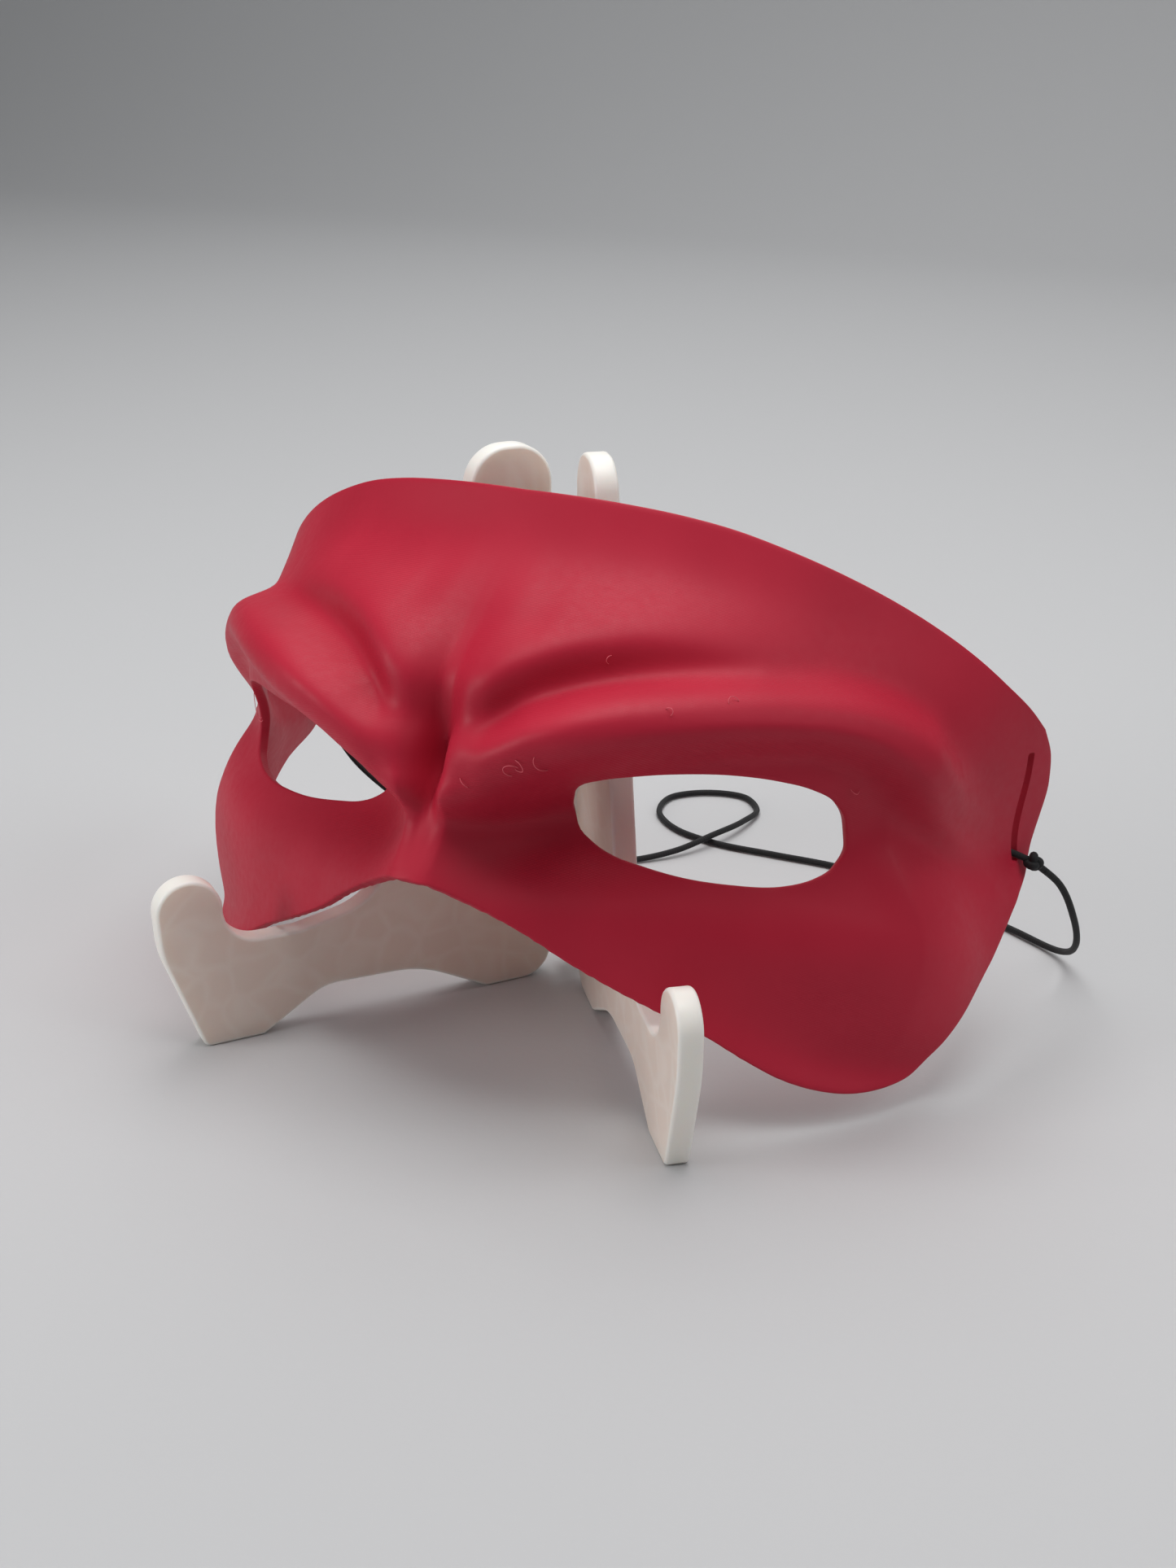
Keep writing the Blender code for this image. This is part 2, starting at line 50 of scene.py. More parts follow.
def toLinear(code):
    # sRGB hex to linear
    parts = [int(code[i:i + 2], 16) / 255 for i in (1, 3, 5)]
    return tuple(c / 12.92 if c <= 0.04045 else ((c + 0.055) / 1.055) ** 2.4 for c in parts) + (1.0,)


def addNode(tree, kind, inputs=None, **settings):
    node = tree.nodes.new(kind)
    for name, value in settings.items():
        setattr(node, name, value)
    for name, value in (inputs or {}).items():
        if isinstance(value, bpy.types.NodeSocket):
            tree.links.new(value, node.inputs[name])
        else:
            node.inputs[name].default_value = value
    return node


def newMaterial(name):
    made = bpy.data.materials.new(name)
    made.use_nodes = True
    shader = made.node_tree.nodes["Principled BSDF"]
    return made, made.node_tree, shader


def addPiece(name, mesh, material, sharpFrom=None):
    # edges whose faces turn by more than sharpFrom degrees stay sharp
    piece = bpy.data.objects.new(name, mesh)
    scene.collection.objects.link(piece)
    mesh.materials.append(material)
    mesh.shade_smooth()
    if sharpFrom:
        mesh.set_sharp_from_angle(angle=math.radians(sharpFrom))
    return piece


def meshFrom(name, work):
    mesh = bpy.data.meshes.new(name)
    work.to_mesh(mesh)
    work.free()
    return mesh


def joinMeshes(mesh, extras):
    work = bmesh.new()
    work.from_mesh(mesh)
    for extra in extras:
        work.from_mesh(extra)
        bpy.data.meshes.remove(extra)
    work.to_mesh(mesh)
    work.free()


def bandFaces(work, rings):
    # faces between closed rings of as many points each
    for a, b in zip(rings, rings[1:]):
        for k in range(len(a)):
            n = (k + 1) % len(a)
            work.faces.new((a[k], a[n], b[n], b[k]))


def unit(way):
    return way / np.linalg.norm(way, axis=-1, keepdims=True)


def smoothRead(x, xs, ys):
    # cubic read of a table at x, held at its ends
    xs = np.asarray(xs, float)
    ys = np.asarray(ys, float)
    x = np.clip(x, xs[0], xs[-1])
    k = np.clip(np.searchsorted(xs, x, side="right") - 1, 0, len(xs) - 2)
    step = xs[k + 1] - xs[k]
    t = (x - xs[k]) / step
    slope = np.gradient(ys, xs)
    return ((2 * t**3 - 3 * t**2 + 1) * ys[k] + (t**3 - 2 * t**2 + t) * step * slope[k]
            + (3 * t**2 - 2 * t**3) * ys[k + 1] + (t**3 - t**2) * step * slope[k + 1])


def columns(rows):
    return [np.array(column, float) for column in zip(*rows)]


def runLength(points):
    return np.concatenate([[0.0], np.cumsum(np.linalg.norm(np.diff(points, axis=0), axis=1))])


def evenCurve(rows, scale, steps, fineSteps):
    # evenly spaced points of a smooth curve through the rows, and the curve's length
    rows = np.array(rows, float)
    along = runLength(rows * scale)
    fine = np.linspace(0, along[-1], fineSteps)
    line = np.stack([smoothRead(fine, along, column) for column in rows.T], -1)
    length = runLength(line * scale)
    at = np.linspace(0, length[-1], steps + 1)
    return np.stack([np.interp(at, length, column) for column in line.T], -1), float(length[-1])


# camera, at the photo's angle
print("camera")
camera = {
    "place": (0.1700, -0.3040, 0.1870),
    "look": (-0.4316, 0.8199, -0.3762),
    "roll": 0.16,       # degrees
    "lens": 48.57,      # mm
    "sensor": 36,       # mm
    "nearest": 0.01,
}
cameraData = bpy.data.cameras.new("photoCamera")
cameraData.lens = camera["lens"]
cameraData.sensor_width = camera["sensor"]
cameraData.clip_start = camera["nearest"]
cameraObject = bpy.data.objects.new("photoCamera", cameraData)
scene.collection.objects.link(cameraObject)
cameraTurn = Vector(camera["look"]).normalized().to_track_quat("-Z", "Y").to_matrix().to_4x4()
cameraObject.matrix_world = (Matrix.Translation(camera["place"]) @ cameraTurn
                             @ Matrix.Rotation(math.radians(camera["roll"]), 4, "Z"))
scene.camera = cameraObject


# braided elastic: a matt black polyester braid over a rubber core, so it has almost no gloss
cordLook = {
    "thread": "#131316",
    # the gaps between the threads are painted darker, as shade
    "gap": "#050506",
    "roughness": 0.78,
    "sheen": 0.05,
    "ridge": 0.06 * mm,     # how far the braid's threads stand out
    "ridgeShows": 0.8,
    "threadsAround": 4.0,
}


def braidedElastic():
    made, tree, shader = newMaterial("braidedElasticCord")
    place = addNode(tree, "ShaderNodeUVMap", uv_map="alongAndAround")
    split = addNode(tree, "ShaderNodeSeparateXYZ", {"Vector": place.outputs["UV"]})
    waves = []
    for way in (1, -1):  # two sets of threads cross over each other
        turn = addNode(tree, "ShaderNodeMath", {0: split.outputs["Y"], 1: way * cordLook["threadsAround"]},
                       operation="MULTIPLY")
        both = addNode(tree, "ShaderNodeMath", {0: split.outputs["X"], 1: turn.outputs[0]}, operation="ADD")
        wave = addNode(tree, "ShaderNodeMath", {0: both.outputs[0], 1: 2 * math.pi}, operation="MULTIPLY")
        waves.append(addNode(tree, "ShaderNodeMath", {0: wave.outputs[0]}, operation="SINE"))
    braid = addNode(tree, "ShaderNodeMath", {0: waves[0].outputs[0], 1: waves[1].outputs[0]},
                    operation="MULTIPLY")
    share = addNode(tree, "ShaderNodeMapRange", {"Value": braid.outputs[0], "From Min": -1.0})
    # where the braid sinks it gets the darker colour: painted shade in the gaps between threads
    mix = addNode(tree, "ShaderNodeMix", {"Factor": share.outputs[0], "A": toLinear(cordLook["gap"]),
                                          "B": toLinear(cordLook["thread"])}, data_type="RGBA")
    tree.links.new(mix.outputs["Result"], shader.inputs["Base Color"])
    bump = addNode(tree, "ShaderNodeBump", {"Height": share.outputs[0], "Distance": cordLook["ridge"],
                                            "Strength": cordLook["ridgeShows"]})
    tree.links.new(bump.outputs["Normal"], shader.inputs["Normal"])
    shader.inputs["Roughness"].default_value = cordLook["roughness"]
    shader.inputs["Sheen Weight"].default_value = cordLook["sheen"]
    return made


tubeEnd = {"breadth": 0.7, "bulge": 0.25}  # shares of the radius


def tubeMesh(name, path, radius, sides, threadPitch, closed=False):
    # a tube along the path, its UV map gives thread pitches along and turns around
    work = bmesh.new()
    uv = work.loops.layers.uv.new("alongAndAround")
    count = len(path)
    if closed:
        way = unit(np.roll(path, -1, axis=0) - np.roll(path, 1, axis=0))
    else:
        way = unit(np.gradient(path, axis=0))
    side = np.cross(way[0], (0.1, 0.2, 1.0))  # any way aslant of the path will do
    run = 0.0
    rings = []
    runs = []
    for i in range(count):
        side = unit(side - way[i] * (side @ way[i]))
        over = np.cross(way[i], side)
        if i:
            run += float(np.linalg.norm(path[i] - path[i - 1]))
        runs.append(run / threadPitch)
        ring = []
        for k in range(sides):
            a = 2 * math.pi * k / sides
            ring.append(work.verts.new(path[i] + radius * (math.cos(a) * side + math.sin(a) * over)))
        rings.append(ring)
    for i in range(count if closed else count - 1):
        j = (i + 1) % count
        runNext = runs[j] if j else runs[i] + runs[1]
        for k in range(sides):
            n = (k + 1) % sides
            face = work.faces.new((rings[i][k], rings[j][k], rings[j][n], rings[i][n]))
            marks = ((runs[i], k), (runNext, k), (runNext, k + 1), (runs[i], k + 1))
            for loop, (u, v) in zip(face.loops, marks):
                loop[uv].uv = (u, v / sides)
    if not closed:
        for ring, step in ((rings[0], -way[0]), (rings[-1], way[-1])):
            middle = sum((v.co for v in ring), Vector()) / sides
            bulge = Vector(step) * radius * tubeEnd["bulge"]
            small = [work.verts.new(middle + (v.co - middle) * tubeEnd["breadth"] + bulge) for v in ring]
            bandFaces(work, [ring, small])
            work.faces.new(small)
    bmesh.ops.recalc_face_normals(work, faces=work.faces)
    return meshFrom(name, work)


print("elastic cord")
cord = {
    "diameter": 0.0013,
    "steps": 420,
    "fineSteps": 4000,
    "sides": 12,
    "threadPitch": 0.0011,
    "route": [          # from the right knot, over the table, to the left slot
        (0.0813, 0.04, 0.0303), (0.0831, 0.0427, 0.0274), (0.0853, 0.0492, 0.0176),
        (0.0844, 0.0564, 0.0088), (0.0786, 0.0665, 0.0018), (0.068, 0.0729, 0.0009),
        (0.052, 0.0801, 0.0008), (0.036, 0.0845, 0.0008), (0.0235, 0.0855, 0.0008),
        (0.0105, 0.0849, 0.0008), (-0.0038, 0.0847, 0.0008), (-0.0145, 0.0879, 0.0008),
        (-0.022, 0.0955, 0.0008), (-0.023, 0.1039, 0.0008), (-0.0168, 0.1103, 0.0008),
        (-0.008, 0.1117, 0.0008), (-0.0026, 0.1063, 0.0009), (-0.0016, 0.0959, 0.0019),
        (-0.0038, 0.0847, 0.0025), (-0.0082, 0.0755, 0.0015), (-0.016, 0.0669, 0.0008),
        (-0.027, 0.0593, 0.0015), (-0.04, 0.0509, 0.0052), (-0.051, 0.0441, 0.0124),
        (-0.0585, 0.0407, 0.0182), (-0.065, 0.0384, 0.0244), (-0.07, 0.0378, 0.0302),
        (-0.0734, 0.0375, 0.0331), (-0.0763, 0.0369, 0.0342)],
}
elasticBraid = braidedElastic()
cordPath, cordLength = evenCurve(cord["route"], 1.0, cord["steps"], cord["fineSteps"])
cordMesh = tubeMesh("elasticCord", cordPath, cord["diameter"] / 2, cord["sides"], cord["threadPitch"])
elasticCord = addPiece("elasticCord", cordMesh, elasticBraid)
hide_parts("elastic_cord")
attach(elasticCord, "root")


# the mask, in wrap degrees round the face and level as a share of its height
mask = {
    "halfWidth": 0.083,
    "faceReach": 0.095,
    "faceHeight": 0.086,
    "foldRise": 0.01,
    "noseRise": 0.016,
    "noseHalf": 0.014,
    "noseRound": 0.0035,
    "noseFall": 1.25,      # power of the nose's fall to both sides
    "wall": 0.0019,
    "rimRadius": 0.0004,   # the nozzle rounds every edge off
    "edgeStep": {          # the layers leave small steps along the lower edge, gone at the lobe
        "height": 0.00009, "fine": 2.1, "slow": 0.31, "start": 0.4, "fade": (0.3125, 0.625)},
    "lean": math.radians(30.0),
    "ahead": 0.001,
    "perDegree": 0.00145,  # about how far one degree of wrap is
    "upright": 0.3,        # share of the plain wrap's own slope in the way that the folds stand out
    "wrapProbe": (0.4, 0.005),  # small steps of wrap and level, on the plain wrap
    "foldProbe": (0.3, 0.004),  # and on the folded face
    "seamGap": 0.000001,
    "sharpFrom": 48,
    "fineSteps": 2000,
    "eyeCentre": (30.0, 0.19),
    "rings": 56,
    "steps": {"midline": 52, "lower": 136, "rear": 60, "top": 92, "eye": 600},
    "sections": [  # level, half width, front, side centre, fullness
        (-0.255, 0.965, 0.78, 0.21, 2.1),
        (-0.06, 1.005, 0.845, 0.16, 1.95),
        (0.095, 1.05, 0.9, 0.12, 2.1),
        (0.21, 1.025, 0.99, 0.09, 2.15),
        (0.325, 0.975, 1.025, 0.08, 2.15),
        (0.49, 0.995, 0.97, 0.06, 2.1),
        (0.63, 1.005, 0.92, 0.045, 2.05),
        (0.79, 0.99, 0.905, 0.035, 2.05),
    ],
    "midline": [   # level, rise, half breadth of the nose and of the crease over it
        (-0.235, 0.84, 1.1), (-0.035, 0.8, 1.0), (0.057, 0.52, 0.85), (0.112, 0.32, 0.68),
        (0.15, 0.12, 0.5), (0.186, -0.14, 0.3), (0.245, -0.22, 0.26), (0.35, -0.08, 0.3),
        (0.48, -0.01, 0.4), (0.675, 0.0, 0.65)],
    "folds": {     # crest rows: wrap, level, rise
        "browRidge": {"below": 0.0046, "above": 0.00644, "flatness": 3.0, "crest": [
            (0, 0.172, 0.0), (2.5, 0.175, 0.62), (5, 0.186, 0.95), (8, 0.208, 1.02),
            (12, 0.248, 0.98), (18, 0.296, 0.88), (25, 0.343, 0.76), (35, 0.4, 0.66),
            (42, 0.428, 0.62), (47, 0.43, 0.6), (52, 0.41, 0.58), (57, 0.372, 0.5),
            (63, 0.338, 0.3), (72, 0.31, 0.0)]},
        "upperFold": {"below": 0.0045, "above": 0.0072, "flatness": 2.0, "crest": [
            (0.5, 0.2, 0.0), (2.5, 0.27, 0.3), (5, 0.345, 0.38), (9, 0.415, 0.38),
            (16, 0.48, 0.29), (27, 0.525, 0.12), (38, 0.555, 0.0)]},
        "foldValley": {"below": 0.0045, "above": 0.0045, "flatness": 2.0, "crest": [
            (1.5, 0.215, 0.0), (3, 0.226, -0.16), (5, 0.25, -0.24), (8, 0.288, -0.24),
            (11, 0.328, -0.24), (15, 0.376, -0.22), (22, 0.43, -0.14), (32, 0.48, 0.0)]},
        "eyeSocket": {"below": 0.009, "above": 0.0072, "flatness": 2.0, "crest": [
            (2, 0.095, 0.0), (6, 0.104, -0.55), (10, 0.12, -0.95), (18, 0.135, -1.2),
            (28, 0.14, -0.92), (40, 0.18, -0.86), (48, 0.215, -0.72), (55, 0.255, -0.44),
            (63, 0.28, -0.24), (72, 0.29, 0.0)]},
        "cheek": {"below": 0.013, "above": 0.013, "flatness": 2.0, "crest": [
            (18, -0.045, 0.0), (34, -0.06, 0.18), (48, -0.06, 0.41), (60, -0.07, 0.6),
            (72, -0.095, 0.31)]},
        "rearTuck": {"below": 0.026, "above": 0.026, "flatness": 2.0, "crest": [
            (54, 0.15, 0.0), (61, 0.16, -0.22), (68, 0.17, -0.42), (74, 0.19, -0.38),
            (84, 0.21, -0.02)]},
        "lobeFlare": {"below": 0.0045, "above": 0.0045, "flatness": 2.0, "crest": [
            (28, -0.22, 0.0), (50, -0.255, 0.32), (62, -0.21, 0.4), (72, -0.165, 0.0)]},
    },
    "topEdge": [
        (0, 0.753), (11, 0.756), (18.8, 0.756), (24.5, 0.752), (30.5, 0.741), (38, 0.723),
        (47, 0.695), (57, 0.654), (63, 0.625), (69, 0.598), (72.6, 0.577)],
    "rearEdge": [
        (72.6, 0.577), (75.8, 0.535), (77.6, 0.486), (78.8, 0.436), (79.7, 0.37), (79.4, 0.305),
        (76.9, 0.244), (74.4, 0.192), (71.6, 0.141), (68.7, 0.092), (64, 0.015), (61, -0.057),
        (59, -0.116), (56.8, -0.172)],
    "lowerEdge": [
        (0, -0.027), (2.5, -0.028), (4.9, -0.038), (8.1, -0.055), (12.2, -0.083), (16.5, -0.116),
        (21, -0.143), (26, -0.167), (32.2, -0.193), (37, -0.22), (41.2, -0.238), (46, -0.242),
        (50, -0.232), (53.8, -0.206), (56.8, -0.172)],
    "eyeHole": [
        (12.3, 0.145), (13.5, 0.177), (15.2, 0.2), (17.2, 0.215), (21.2, 0.237), (27, 0.264),
        (32.5, 0.285), (38.5, 0.299), (42.6, 0.302), (46, 0.294), (48.3, 0.268), (48.5, 0.228),
        (45.9, 0.174), (42.2, 0.137), (37.7, 0.108), (32, 0.089), (26.2, 0.079), (21.2, 0.08),
        (17.6, 0.085), (14.9, 0.097), (12.9, 0.114)],
}
strapSlot = {
    "length": 0.0203,
    "width": 0.002,
    "wrap": 74.9,
    "level": 0.413,
    "drift": 28.0,     # degrees that its line runs back over the face height
    "stretch": 0.1,    # share of the face height over which its line is measured
    "corner": 0.0005,
    "cutDepth": 8,     # walls that its cutter passes through
}
seat = {
    "height": 0.0194,
    "clear": 0.0003,
    "reach": 0.6,      # share of a plate's length that the mask's edge can rest on
    "edgeSteps": 300,
}


stand = {
    "thickness": 0.0043,
    "length": 0.0678,
    "height": 0.1035,
    "hookHeight": 0.0327,
    "hookReach": 0.0087,
    "hookBreadth": 0.0123,
    "backBreadth": 0.014,
    "backLean": 0.248,     # how far the backrest leans back for its height
    "footFront": 0.0097,
    "footRear": 0.0105,
    "archHeight": 0.0074,
    "halfAngle": math.radians(38.15),
    "turn": math.radians(-1.95),
    "front": (-0.001287, -0.077495),   # midway between the fronts of both feet
    "hingeSpace": 0.0037,
    "edgeRadius": 0.0007,
    "arcSteps": 14,
    "pointGap": 0.00005,   # outline points closer than this are one
    "sharpFrom": 35,
}


def relief(wrap, level):
    # how far the folds stand out from the plain wrap
    side = np.abs(wrap)
    levels, rises, halves = columns(mask["midline"])
    half = smoothRead(level, levels, halves) * mask["noseHalf"]
    away = np.hypot(side * mask["perDegree"], mask["noseRound"]) - mask["noseRound"]
    out = smoothRead(level, levels, rises) * mask["noseRise"] * np.exp(-(away / half) ** mask["noseFall"])
    for fold in mask["folds"].values():
        wraps, levels, rises = columns(fold["crest"])
        crest = smoothRead(side, wraps, levels)
        # the crest's climb over one degree, from half a degree behind to half a degree ahead
        rise = smoothRead(side + 0.5, wraps, levels) - smoothRead(side - 0.5, wraps, levels)
        climb = rise * mask["faceHeight"]
        away = (level - crest) * mask["faceHeight"] / np.sqrt(1 + (climb / mask["perDegree"]) ** 2)
        turnOver = 0.5 + 0.5 * np.tanh(away / fold["below"])  # 0 well below the crest, 1 above
        spread = fold["below"] + (fold["above"] - fold["below"]) * turnOver
        swell = np.exp(-np.abs(away / spread) ** fold["flatness"])
        out += smoothRead(side, wraps, rises) * mask["foldRise"] * swell
    return out


def plainWrap(wrap, level):
    levels, widths, fronts, centres, fullness = columns(mask["sections"])
    halfWidth = smoothRead(level, levels, widths) * mask["halfWidth"]
    front = smoothRead(level, levels, fronts) * mask["faceReach"]
    centre = smoothRead(level, levels, centres) * mask["faceReach"]
    power = 2 / smoothRead(level, levels, fullness)
    angle = np.radians(wrap)
    x = halfWidth * np.sign(angle) * np.abs(np.sin(angle)) ** power
    y = centre - (centre + front) * np.abs(np.cos(angle)) ** power
    return np.stack([x, y, level * mask["faceHeight"]], -1)


def wayOut(point, wrap, level, probe):
    wrapStep, levelStep = probe
    across = point(wrap + wrapStep, level) - point(wrap - wrapStep, level)
    up = point(wrap, level + levelStep) - point(wrap, level - levelStep)
    return np.cross(across, up)


def maskPoint(wrap, level):
    # a point of the outer face
    wrap = np.asarray(wrap, float)
    level = np.asarray(level, float)
    out = wayOut(plainWrap, wrap, level, mask["wrapProbe"])
    out[..., 2] *= mask["upright"]
    point = plainWrap(wrap, level) + unit(out) * relief(wrap, level)[..., None]
    c = math.cos(mask["lean"])
    s = math.sin(mask["lean"])
    turn = np.array([[1, 0, 0], [0, c, s], [0, -s, c]])
    return point @ turn.T - np.array([0.0, mask["ahead"], 0.0])


def wallWay(wrap, level):
    # the way out of the folded face
    return unit(wayOut(maskPoint, wrap, level, mask["foldProbe"]))


def edgeLine(rows, steps):
    return evenCurve(rows, (mask["perDegree"], mask["faceHeight"]), steps, mask["fineSteps"])[0]


def standCorner():
    # where the plates' inner faces would meet behind their rear edges
    reach = (stand["length"] + stand["hingeSpace"]) * math.cos(stand["halfAngle"])
    back = np.array([math.sin(stand["turn"]), math.cos(stand["turn"])])
    return np.array(stand["front"]) + reach * back, back


def plateFrame(side):
    turn = stand["turn"] - side * stand["halfAngle"]
    back = np.array([math.sin(turn), math.cos(turn)])
    outward = np.array([back[1], -back[0]]) * side
    return standCorner()[0] - (stand["length"] + stand["hingeSpace"]) * back, back, outward


def restLift():
    # lifts the mask until its lower edge clears both seats
    line = edgeLine(mask["lowerEdge"], seat["edgeSteps"])
    lowest = math.inf
    for side in (-1, 1):
        foot, back, outward = plateFrame(side)
        spots = (line[:, 0] * side, line[:, 1])
        face = maskPoint(*spots)
        for edge in (face, face - wallWay(*spots) * mask["wall"]):
            away = (edge[:, :2] - foot) @ outward
            along = (edge[:, :2] - foot) @ back
            over = (away > 0) & (away < stand["thickness"]) & (along < seat["reach"] * stand["length"])
            if over.any():
                lowest = min(lowest, edge[over, 2].min())
    return seat["height"] + seat["clear"] - lowest


maskLift = np.array([0.0, 0.0, restLift()])


def maskGrid():
    # wrap and level of the surface rows, and of the true outline and eye hole, right half
    steps = mask["steps"]
    outer = edgeLine(mask["lowerEdge"][:-1] + mask["rearEdge"][::-1], steps["lower"] + steps["rear"])
    top = edgeLine(mask["topEdge"], steps["top"])[::-1]
    middle = edgeLine([mask["topEdge"][0], mask["lowerEdge"][0]], steps["midline"])
    rim = np.concatenate([outer[:-1], top[:-1], middle[:-1]])
    rimCount = len(outer) + len(top) - 2
    scale = np.array([mask["perDegree"], mask["faceHeight"]])
    centre = np.array(mask["eyeCentre"])
    step = mask["edgeStep"]
    run = np.arange(steps["lower"])
    bumps = np.sin(run * step["fine"]) * np.sin(run * step["slow"] + step["start"])
    bumps *= np.interp(run / len(run), step["fade"], (1, 0))
    bumps[:2] = 0.0  # none on the midline
    rim[:len(bumps), 1] += bumps * step["height"] / mask["faceHeight"]
    flat = (rim - centre) * scale
    angle = np.arctan2(flat[:, 1], flat[:, 0])
    eye = (edgeLine(mask["eyeHole"] + mask["eyeHole"][:1], steps["eye"])[:-1] - centre) * scale
    eyeAngle = np.arctan2(eye[:, 1], eye[:, 0])
    order = np.argsort(eyeAngle)
    reach = np.interp(angle, eyeAngle[order], np.hypot(*eye.T)[order], period=2 * math.pi)
    ray = np.stack([np.cos(angle), np.sin(angle)], -1)
    hole = ray * reach[:, None]
    holeInset = ray * (reach + mask["rimRadius"])[:, None]
    # the rows stop short of both edges, which get their own rounding
    inset = flat.copy()
    inset[1:rimCount] -= ray[1:rimCount] * mask["rimRadius"]
    inset[0, 1] += mask["rimRadius"]
    inset[rimCount, 1] -= mask["rimRadius"]
    share = np.linspace(0, 1, mask["rings"] + 1)[:, None, None]
    rows = holeInset * (1 - share) + inset * share
    return rows / scale + centre, rim, hole / scale + centre, rimCount


def roundedEdge(edge, inner, way):
    # rows from the outer face round the wall's edge to the inner face
    r = mask["rimRadius"]
    reach = edge - inner
    rows = []
    for a in np.radians((30, 60, 90)):
        rows.append(inner + reach * math.sin(a) - way * r * (1 - math.cos(a)))
    for a in np.radians((0, 30, 60)):
        rows.append(inner + reach * math.cos(a) - way * (mask["wall"] - r + r * math.sin(a)))
    return rows


def maskMesh():
    rows, rim, hole, rimCount = maskGrid()
    outer = maskPoint(rows[..., 0], rows[..., 1])
    way = wallWay(rows[..., 0], rows[..., 1])
    inner = outer - way * mask["wall"]
    rimRows = roundedEdge(maskPoint(rim[:, 0], rim[:, 1]), outer[-1], way[-1])
    holeRows = roundedEdge(maskPoint(hole[:, 0], hole[:, 1]), outer[0], way[0])
    loops = list(outer) + rimRows + list(inner[::-1]) + holeRows[::-1]
    count = len(rim)
    firstRim = len(outer) - 1
    lastRim = firstRim + len(rimRows)
    grid = np.stack(loops) + maskLift + originShift
    for k in [0] + list(range(rimCount, count)):  # the midline's points lie in the middle plane
        grid[firstRim:lastRim + 2, k, 0] = 0.0
    work = bmesh.new()
    for side in (1, -1):
        verts = [[work.verts.new((p[0] * side, p[1], p[2])) for p in loop] for loop in grid]
        for i in range(len(verts)):
            j = (i + 1) % len(verts)
            onRim = firstRim <= i <= lastRim
            for k in range(count):
                n = (k + 1) % count
                if onRim and k >= rimCount:
                    continue  # no wall edge between the two halves
                face = (verts[i][k], verts[j][k], verts[j][n], verts[i][n])
                work.faces.new(face if side > 0 else face[::-1])
    bmesh.ops.delete(work, geom=[v for v in work.verts if not v.link_faces], context="VERTS")
    seam = [v for v in work.verts if abs(v.co.x) < 0.1 * mask["seamGap"]]
    bmesh.ops.remove_doubles(work, verts=seam, dist=mask["seamGap"])
    bmesh.ops.recalc_face_normals(work, faces=work.faces)
    openEdges = sum(1 for e in work.edges if not e.is_manifold)
    print("mask mesh:", len(work.faces), "faces,", openEdges, "open edges")
    return meshFrom("maskShell", work)


def slotWay(side):
    # a stretch of the slot's line, downwards
    rise = 0.5 * strapSlot["stretch"]
    run = rise * strapSlot["drift"]
    over = maskPoint(side * (strapSlot["wrap"] - run), strapSlot["level"] + rise)
    under = maskPoint(side * (strapSlot["wrap"] + run), strapSlot["level"] - rise)
    return under - over


def slotSpot(side, down, back):
    # wrap and level of a spot down the slot's line and back from it
    drop = strapSlot["stretch"] * down / np.linalg.norm(slotWay(side))
    wrap = strapSlot["wrap"] + drop * strapSlot["drift"] + back / mask["perDegree"]
    return side * wrap, strapSlot["level"] - drop


def slotCutter(side):
    wrap = side * strapSlot["wrap"]
    centre = maskPoint(wrap, strapSlot["level"])
    up = Vector(-slotWay(side)).normalized()
    across = up.cross(Vector(wallWay(wrap, strapSlot["level"]))).normalized()
    through = across.cross(up)
    depth = strapSlot["cutDepth"] * mask["wall"]
    work = bmesh.new()
    bmesh.ops.create_cube(work, size=1.0)
    size = Matrix.Diagonal((strapSlot["width"], strapSlot["length"], depth, 1.0))
    bmesh.ops.transform(work, matrix=size, verts=work.verts)
    upright = [e for e in work.edges if abs((e.verts[0].co - e.verts[1].co).z) > 0.5 * depth]
    bmesh.ops.bevel(work, geom=upright, offset=strapSlot["corner"], segments=3, profile=0.5,
                    affect="EDGES")
    cutter = bpy.data.objects.new("slotCutter", meshFrom("slotCutter", work))
    scene.collection.objects.link(cutter)
    turn = Matrix((across, up, through)).transposed().to_4x4()
    cutter.matrix_world = Matrix.Translation(Vector(centre + maskLift + originShift)) @ turn
    return cutter


# PLA filament with a satin finish, printed upright in thin layers: the gloss is broad, and the
# layer edges draw faint contour lines wherever the face lies nearly level
maskLook = {
    "deep": "#AE1C33",
    "bright": "#BF263D",
    "toneBreadth": 35.7 * mm,   # of the patches of deep and bright
    "thread": "#DE6470",
    "roughness": 0.50,
    "roughnessSpread": (-0.04, 0.05),
    "shine": 0.25,              # printed layers scatter part of the plain plastic's shine
    "ior": 1.46,
    "layer": 0.28 * mm,         # between layer lines, drawn a little coarser than the real 0.2 mm
    "layerDepth": 0.03 * mm,
    "layerFlatness": (0.25, 0.8),   # from upright to level, as the lines come up
    "layerShows": (0.04, 0.75),
    "grain": 1.6 * mm,          # size of the faint mottling
    "grainDepth": 0.1 * mm,
    "grainShows": 0.12,
}


